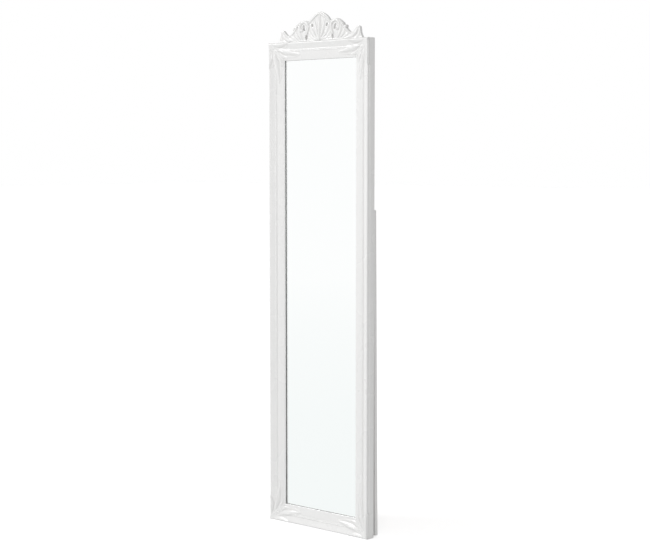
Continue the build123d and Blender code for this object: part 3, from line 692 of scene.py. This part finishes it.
def inside_distance(outline, x, z):
    """Distance from a closed outline, positive inside it."""
    outline = np.asarray(outline, float)
    ends = np.roll(outline, -1, axis=0)
    gap, _ = nearest(np.vstack((outline, outline[:1])), x, z)
    inside = np.zeros(x.shape, bool)
    for (x1, z1), (x2, z2) in zip(outline, ends):
        if z1 != z2:
            inside ^= ((z1 > z) != (z2 > z)) & (x < x1 + (z - z1) * (x2 - x1) / (z2 - z1))
    return np.where(inside, gap, -gap)


def blurred(values, spread):
    """A soft blur of values on the net; the spread is in steps of the net."""
    reach = int(3 * spread) + 1
    weights = np.exp(-0.5 * (np.arange(-reach, reach + 1) / spread) ** 2)
    weights /= weights.sum()
    for axis in (0, 1):
        padded = np.pad(values, [(reach, reach) if i == axis else (0, 0) for i in (0, 1)], mode="edge")
        values = np.apply_along_axis(np.convolve, axis, padded, weights, mode="valid")
    return values


print("a curve through three points has", len(curve([(0, 0), (10, 5), (20, 0)])), "points")

# %% [markdown]
# A carver's strokes. A round stroke is a bead or a scroll, a roof has a sharp ridge along its middle, as
# the rib of a leaf does, and a groove is cut with a small gouge. Widths and heights change along a stroke,
# so each stroke is a path, its half widths and its heights. A boss is a button, so it has no path.


# %% The carver's strokes
ROUND_FULLNESS, ROOF_FULLNESS = 0.7, 0.75
BOSS_LENGTH = 0.1
THINNEST = 0.3
HOLLOW_SPREAD, HOLLOW_FULL = 2.6, 1.1


class Relief:
    """Heights over a net of points, in millimetres in front of a flat board."""

    def __init__(self, low, high, step, mirrored=False):
        x, z = (np.arange(low[i], high[i] + step, step) for i in (0, 1))
        self.x, self.z = np.meshgrid(x, z, indexing="ij")
        self.across = np.abs(self.x) if mirrored else self.x
        self.step = step
        self.height = np.zeros(self.x.shape)

    def profile(self, path, widths, heights):
        gap, along = nearest(curve(path) if len(path) > 2 else path, self.across, self.z)
        width, height = (np.interp(along, np.linspace(0, 1, len(v)), v) for v in (widths, heights))
        return np.clip(gap / width, 0, 1), height

    def round(self, path, widths, heights):
        off, height = self.profile(path, widths, heights)
        self.height = np.maximum(self.height, height * (1 - off**2) ** ROUND_FULLNESS)

    def roof(self, path, widths, heights):
        off, height = self.profile(path, widths, heights)
        self.height = np.maximum(self.height, height * (1 - off) ** ROOF_FULLNESS)

    def groove(self, path, widths, depths):
        off, depth = self.profile(path, widths, depths)
        self.height -= depth * (1 - off**2) ** 2

    def boss(self, centre, radius, height):
        end = (centre[0] + BOSS_LENGTH, centre[1])
        self.round([centre, end], (radius, radius), (height, height))

    def soften(self, spread):
        self.height = blurred(self.height, spread / self.step)

    def round_rim(self, inside, width):
        """Turns the edge of the carving over in a quarter round, and gives the shape of that round."""
        quarter = np.sqrt(1 - (1 - np.clip(inside / width, 0, 1)) ** 2)
        self.height = np.clip(self.height, THINNEST, None) * quarter
        return quarter

    def painted_shade(self):
        """How deep each point lies under its surroundings, from 0 to 1; the lacquer paints shade by it."""
        under = blurred(self.height, HOLLOW_SPREAD / self.step) - self.height
        return np.clip(under / HOLLOW_FULL, 0, 1)


trial = Relief((-5, -5), (5, 5), 1.0)
trial.boss((0, 0), radius=4.0, height=2.0)
print("a trial boss rises", round(float(trial.height.max()), 2), "mm")

# %% [markdown]
# From heights to a solid. The net is cut along the outline: where a square of the net crosses it, the
# crossing points are worked out on the square's edges, so the silhouette is smooth and not stepped.
# Front and back use the same points, and a wall joins them, which closes the mesh. A crossing stays a
# little away from the points of the net, because two corners at one place would leave a hole.

# %% A carved plate
ON_THE_LINE = 1e-6
NEAREST_CROSSING = 0.04


def carved_plate(name, relief, inside, front, back):
    """A closed mesh between two depths, over the part of the net that lies inside an outline."""
    layers = (relief.x, front, relief.z, back, relief.painted_shade())
    inside = np.where(np.abs(inside) < ON_THE_LINE, -ON_THE_LINE, inside)
    kept = inside > 0
    spots, rows, faces = {}, [], []

    def point(here, there):
        """Index of a net point, or of the crossing between two of them."""
        key = tuple(sorted((here, there)))
        if key not in spots:
            part = 0.0
            if here != there:
                part = inside[here] / (inside[here] - inside[there])
                part = np.clip(part, NEAREST_CROSSING, 1 - NEAREST_CROSSING)
            spots[key] = len(rows)
            rows.append([layer[here] + (layer[there] - layer[here]) * part for layer in layers])
        return spots[key]

    crossed = kept[:-1, :-1] | kept[1:, :-1] | kept[1:, 1:] | kept[:-1, 1:]
    for i, j in zip(*np.nonzero(crossed)):
        square = [(i, j), (i + 1, j), (i + 1, j + 1), (i, j + 1)]
        ring, leaving = [], None
        for here, there in zip(square, square[1:] + square[:1]):
            if kept[here]:
                ring.append(point(here, here))
            if kept[here] != kept[there]:
                ring.append(point(here, there))
                if kept[here]:
                    leaving = ring[-1]
                elif leaving is not None:
                    faces.append((2 * leaving, 2 * ring[-1], 2 * ring[-1] + 1, 2 * leaving + 1))
                    leaving = None
                else:
                    entering = ring[-1]
        if leaving is not None:
            faces.append((2 * leaving, 2 * entering, 2 * entering + 1, 2 * leaving + 1))
        faces.append([2 * k for k in ring])
        faces.append([2 * k + 1 for k in reversed(ring)])

    # Each front point carries its depth under its surroundings, which the lacquer paints as shade; the back
    # gets none.
    places, painted_shade = [], []
    for x, front_y, z, back_y, hollow in rows:
        places += [(x, front_y, z), (x, back_y, z)]
        painted_shade += [hollow, 0.0]
    mesh = bpy.data.meshes.new(name)
    mesh.from_pydata(places, [], faces)
    mesh.attributes.new("hollow", "FLOAT", "POINT").data.foreach_set("value", painted_shade)
    mesh.materials.append(carving_white)
    return mesh


round_edge = 4.5 - np.hypot(trial.x, trial.z)
disc = carved_plate("trial", trial, round_edge, -trial.height - 1.0, trial.height)
print("a trial disc cut from that net has", len(disc.polygons), "faces")
bpy.data.meshes.remove(disc)

# %% [markdown]
# The crest is a pierced board that stands on the top rail. Its outline rises from a foot at each side to
# an upturned leaf tip, dips, climbs over a slope with two beads to the shoulder of a scroll, and ends in
# the point of the palmette. It is drawn for the right-hand half, from the rail upwards, and mirrored.

# %% Outline of the crest
CREST_H = MODEL_BOX[1][2] / MM - FRAME_H
CREST_HALF_W = 170.0
CREST_FRONT, CREST_BACK = 13.0, 22.0
CREST_SINK = 0.8
CREST_BEADS = [(91.0, 46.0), (103.0, 38.0)]
CREST_BEAD_R = 4.8
PIERCINGS = [((29, 47), (3.2, 5.0), -20), ((62, 40), (5.0, 9.5), -20), ((52, 11), (4.0, 7.0), 10)]


def crest_outline():
    foot = curve([(CREST_HALF_W, -CREST_SINK), (162, 12), (159, 28)])
    slope = curve([(146, 36), (134, 24), (124, 19), (112, 27), (99, 41), (88, 54), (79, 60)])
    half = [*foot, *arc((159, 28), (155, 36), (146, 36)), *slope]
    half += rounds((79, 60), ((70, 63.5), (60, 62)), ((52, 62), (43, 58)), ((26, 76), (0, CREST_H)))
    return half + [(-x, z) for x, z in reversed(half)]


def ellipse_distance(centre, radii, turn, x, z):
    """Roughly the distance outside an ellipse that is turned by some degrees."""
    c, s = math.cos(math.radians(turn)), math.sin(math.radians(turn))
    dx, dz = x - centre[0], z - centre[1]
    reach = np.hypot((dx * c + dz * s) / radii[0], (dz * c - dx * s) / radii[1])
    return (reach - 1) * min(radii)


CREST_STEP = 0.8
NET_MARGIN = 2.0
net_end = CREST_HALF_W + NET_MARGIN
crest = Relief((-net_end, -NET_MARGIN), (net_end, CREST_H + CREST_STEP), CREST_STEP, mirrored=True)
crest_inside = inside_distance(crest_outline(), crest.x, crest.z)
for piercing in PIERCINGS:
    crest_inside = np.minimum(crest_inside, ellipse_distance(*piercing, crest.across, crest.z))
for bead in CREST_BEADS:
    past_bead = CREST_BEAD_R - np.hypot(crest.across - bead[0], crest.z - bead[1])
    crest_inside = np.maximum(crest_inside, past_bead)
print("crest", CREST_H, "mm high, net", crest.x.shape)

# %% [markdown]
# The strokes of the crest. Petals fan out from the foot of the palmette, with a sharp rib up its middle
# and a raised rim along its edge. A scroll rises beside it, curls round its opening and ends in an eye. An
# acanthus leaf sweeps out from under the scroll: its lobes are roofs with a gouged vein, and its last one
# turns up as the tip. A round band runs along the rail.

# %% Carving the crest
PALMETTE_PETALS = [
    ([(4, 5), (14, 36), (21, 64)], (4, 8.5, 3), (4.6, 4.4, 2.4)),
    ([(8, 5), (25, 22), (37, 48)], (4, 8, 3.5), (4.2, 3.8, 2.2)),
    ([(11, 4), (28, 10), (43, 27)], (3.5, 7, 3), (3.8, 3.2, 2.0)),
    ([(14, 3), (28, 4), (43, 11)], (3, 5, 3), (3.2, 2.8, 1.8)),
]
WING_LOBES = [
    ([(70, 6), (80, 22), (85, 46)], (5, 8, 4), (3.2, 4.0, 2.6)),
    ([(80, 5), (92, 17), (99, 33)], (5, 8, 3.5), (3.0, 3.8, 2.4)),
    ([(92, 4), (106, 12), (114, 21)], (5, 7, 3), (2.8, 3.6, 2.2)),
    ([(106, 4), (126, 7), (141, 17), (151, 32)], (5, 8, 7.5, 4), (3.0, 4.4, 4.6, 3.0)),
    ([(136, 2), (151, 7), (157, 25)], (4, 5.5, 3), (2.4, 3.4, 2.4)),
]
VEIN = (1.3, 1.5, 0.9), (0.9, 1.1, 0.4)
RAIL_BAND = [(0, 1.5), (169, 1.5)], (3.2, 3.2), (2.4, 2.4)
PALMETTE_RIM = [(1, 83), (15, 75), (27, 66), (40, 56)], (2.6, 3.4, 3.2), (3.4, 3.4, 2.8)
PALMETTE_RIB = [(0, 3), (0, 78)], (8.5, 7.5, 4), (5.6, 5.2, 3.4)
SLOPE_EDGE = [(81, 55), (94, 40), (109, 25), (124, 16)], (2.4, 2.8, 2.2), (3.2, 3.2, 2.4)
SCROLL_RISE = [(52, 1), (55, 13), (50, 25), (46, 38), (48, 51)]
SCROLL_CURL = [(58, 59), (70, 58), (78, 49), (78, 38), (71, 32)]
SCROLL = SCROLL_RISE + SCROLL_CURL, (3.2, 4.6, 5.4, 5.0, 4.0), (3.4, 4.4, 4.6, 4.4, 3.8)
SCROLL_VEIN = SCROLL_RISE + SCROLL_CURL, (0.9, 1.2, 1.2, 0.9), (0.5, 0.9, 0.9, 0.5)
SCROLL_EYE, SCROLL_EYE_R = (68.5, 34.0), 4.4
BOSS_HEIGHT = 4.6
CREST_GROUND = 1.0
LACQUER_BLUR = 0.55


def carve_crest(relief):
    relief.height += CREST_GROUND
    relief.round(*RAIL_BAND)
    for lobe in PALMETTE_PETALS + WING_LOBES:
        relief.roof(*lobe)
    relief.round(*PALMETTE_RIM)
    relief.roof(*PALMETTE_RIB)
    for path, _, _ in PALMETTE_PETALS + WING_LOBES:
        relief.groove(path, *VEIN)
    relief.round(*SLOPE_EDGE)
    relief.round(*SCROLL)
    relief.groove(*SCROLL_VEIN)
    relief.boss(SCROLL_EYE, SCROLL_EYE_R, BOSS_HEIGHT)
    for bead in CREST_BEADS:
        relief.boss(bead, CREST_BEAD_R, BOSS_HEIGHT)
    relief.soften(LACQUER_BLUR)


CREST_RIM, BACK_ROUND = 1.6, 0.6
carve_crest(crest)
quarter = crest.round_rim(crest_inside, CREST_RIM)
crest_front = CREST_FRONT - crest.height
crest_back = CREST_BACK - BACK_ROUND * (1 - quarter)
mesh = carved_plate("crest_carving", crest, crest_inside, crest_front, crest_back)
mesh.transform(Matrix.Scale(MM, 4) @ Matrix.Translation((0, FRONT, FRAME_H)))
hand_over("crest_carving", mesh, "crest")

# %% [markdown]
# The corner leaves are one carving, used four times. An acanthus leaf lies over the mitre, alike on both
# sides of the diagonal, and sends a tongue along each side. It is carved over the moulding itself: its
# lowest surface follows the moulding's face, with the steps softened, and the strokes rise from there.

# %% The leaf over a corner
LEAF_POINTS = [(0, 80), (20, 68), (38, 126), (47, 74), (55, 55)]
LEAF_BULGES = [3.0, 5.0, 5.0, 3.0]
LEAF_STEP = 0.8
LEAF_MARGIN, LEAF_REACH = 1.0, 128.0


def sagitta(start, end, bulge):
    """An arc between two places that bulges to the left of the way from one to the other."""
    start, end = np.array(start, float), np.array(end, float)
    way = end - start
    via = (start + end) / 2 + np.array((-way[1], way[0])) / np.linalg.norm(way) * bulge
    return arc(tuple(start), tuple(via), tuple(end))


def leaf_outline():
    half = [(0, 0)]
    for start, end, bulge in zip(LEAF_POINTS, LEAF_POINTS[1:], LEAF_BULGES):
        half += sagitta(start, end, bulge)
    return half + [(q, p) for p, q in reversed(half[1:])]


leaf = Relief((-LEAF_MARGIN, -LEAF_MARGIN), (LEAF_REACH, LEAF_REACH), LEAF_STEP)
leaf_inside = inside_distance(leaf_outline(), leaf.x, leaf.z)
from_edge = np.minimum(leaf.x, leaf.z)
bed = np.interp(from_edge, [u for u, _ in FACE], [d for _, d in FACE])
print("leaf net", leaf.x.shape, "bed", round(float(bed.min()), 2), "to", round(float(bed.max()), 2), "mm")

# %% Carving the leaf
LEAF_STROKES = [
    ([(16, 26), (27, 58), (33, 90), (38, 123)], (7, 9.5, 7.5, 2), (3.0, 4.4, 4.2, 1.6)),
    ([(7, 20), (9, 46), (4, 76)], (6, 7.5, 3), (3.0, 3.8, 2.2)),
    ([(30, 38), (43, 54), (46.5, 72)], (6, 7, 2.5), (2.8, 3.6, 2.0)),
]
SIDE_VEINS = [[(20, 20), (14, 34)], [(30, 30), (26, 44)], [(40, 40), (41, 50)]]
LEAF_RIB = [(2, 2), (54, 54)], (9, 14, 10, 2.5), (3.2, 4.6, 4.2, 2.2)
RIB_VEIN = [(6, 6), (50, 50)], (1.2, 1.8, 1.0), (0.8, 1.3, 0.4)
LEAF_VEIN, SIDE_VEIN = ((1.4, 1.6, 1.0), (0.9, 1.2, 0.4)), ((1.2, 1.0), (0.8, 0.3))
LEAF_GROUND = 0.7
LEAF_RIM = 1.5
BED_BLUR = 2.4
WRAP_WIDTH, WRAP_DEPTH = 2.0, 9.0
LEAF_SINK = 0.5


def both_sides(path):
    """A path and its image across the diagonal of the corner."""
    return path, [(across, along) for along, across in path]


def carve_leaf(relief):
    relief.height += LEAF_GROUND
    for path, widths, heights in LEAF_STROKES:
        for side in both_sides(path):
            relief.roof(side, widths, heights)
    relief.roof(*LEAF_RIB)
    for path, _, _ in LEAF_STROKES:
        for side in both_sides(path):
            relief.groove(side, *LEAF_VEIN)
    for path in SIDE_VEINS:
        for side in both_sides(path):
            relief.groove(side, *SIDE_VEIN)
    relief.groove(*RIB_VEIN)
    relief.soften(LACQUER_BLUR)


carve_leaf(leaf)
leaf.round_rim(leaf_inside, LEAF_RIM)
soft_bed = np.minimum(blurred(bed, BED_BLUR / LEAF_STEP), bed)
leaf_front = soft_bed - leaf.height
leaf_back = np.where(from_edge < WRAP_WIDTH, WRAP_DEPTH, bed + LEAF_SINK)
mesh = carved_plate("leaf", leaf, leaf_inside, leaf_front, leaf_back)
for _, place, corner, inwards, along, _ in SIDES:
    name = "corner_leaf_" + place
    copy = mesh.copy()
    copy.transform(at_corner(corner, inwards, along))
    hand_over(name + "_carving", copy, name)
bpy.data.meshes.remove(mesh)

# %% [markdown]
# The studio is a pale floor under an even white sky. The camera and the mirror see the sky at full
# white, while it lights the object at a lower level. One broad lamp at the left front gives the carving
# its light and shade, and a weaker one at the right front lights the slopes and sides that face right. It
# stands far enough to the side for the mouldings not to mirror it into a camera straight in front.

# %% World
SKY_LEVEL = 0.49
world = bpy.data.worlds.new("studio")
scene.world = world
world.use_nodes = True
sky = Tree(world.node_tree)
rays = sky.add("ShaderNodeLightPath")
seen = sky.out(rays, "Is Camera Ray") + sky.out(rays, "Is Glossy Ray")
background = world.node_tree.nodes["Background"]
background.inputs["Color"].default_value = (1, 1, 1, 1)
sky.set(background.inputs["Strength"], SKY_LEVEL + seen.clamped() * (1.0 - SKY_LEVEL))
print("sky lights at", SKY_LEVEL)

# %% Lamps
MIDDLE = Vector((0, 0, 0.8))


def lamp(name, place, size, power):
    """A round lamp that faces the middle of the mirror."""
    data = bpy.data.lights.new(name, "AREA")
    data.shape, data.size, data.energy = "DISK", size, power
    made = bpy.data.objects.new(name, data)
    scene.collection.objects.link(made)
    made.location = place
    made.rotation_euler = (MIDDLE - made.location).to_track_quat("-Z", "Y").to_euler()


lamp("key", place=(-3.0, -3.2, 3.6), size=2.2, power=118)
lamp("fill", place=(3.3, -4.6, 2.2), size=1.6, power=52)


# %% Floor
FLOOR_HALF = 40.0
FLOOR_PAINT, FLOOR_LIFT, NO_LIGHT = (0.88, 0.88, 0.88), (0.52, 0.52, 0.52), (0.0, 0.0, 0.0)
REFLECTED_NEAR, REFLECTED_FAR = (0.93, 0.955, 0.95), (1.0, 1.0, 1.0)
REFLECTED_REACH = 9.0


def floor_finish():
    """Pale paint; the camera sees it lifted to white, and the mirror sees a painted glow in its place, a
    little darker close by.
    """
    finish = Finish("studio_floor")
    place = finish.place()
    drift = finish.noise(place, scale=1.5)
    light = finish.add("ShaderNodeLightPath")
    lift = finish.blend(finish.out(light, "Is Camera Ray"), NO_LIGHT, FLOOR_LIFT)
    gloss = 0.7 + 0.1 * drift
    finish.surface(base_color=FLOOR_PAINT, roughness=gloss, emission_color=lift, emission_strength=1.0)
    # What the mirror sees of the floor is a painted reflection: a glow, darker close by and white far off,
    # with no shadows in it.
    away = finish.out(finish.add("ShaderNodeVectorMath", {"operation": "LENGTH"}, {0: place}), "Value")
    pale = finish.blend((away / REFLECTED_REACH).clamped(), REFLECTED_NEAR, REFLECTED_FAR)
    reflected = finish.add("ShaderNodeEmission", {}, {"Color": pale}).outputs[0]
    sockets = {0: finish.out(light, "Is Glossy Ray"), 1: finish.shader.outputs[0], 2: reflected}
    mixed = finish.add("ShaderNodeMixShader", {}, sockets).outputs[0]
    finish.set(finish.tree.nodes["Material Output"].inputs["Surface"], mixed)
    return finish.material


floor_mesh = bpy.data.meshes.new("floor")
corners = [(x * FLOOR_HALF, y * FLOOR_HALF, 0) for x, y in ((-1, -1), (1, -1), (1, 1), (-1, 1))]
floor_mesh.from_pydata(corners, [], [(0, 1, 2, 3)])
floor = bpy.data.objects.new("floor", floor_mesh)
scene.collection.objects.link(floor)
wear(floor, floor_finish())
print("floor", 2 * FLOOR_HALF, "m across")

# %% [markdown]
# One thing is left. The Standard view keeps white paint as white as it is, where a filmic one would grey
# it.

# %% The view
scene.view_settings.view_transform = "Standard"
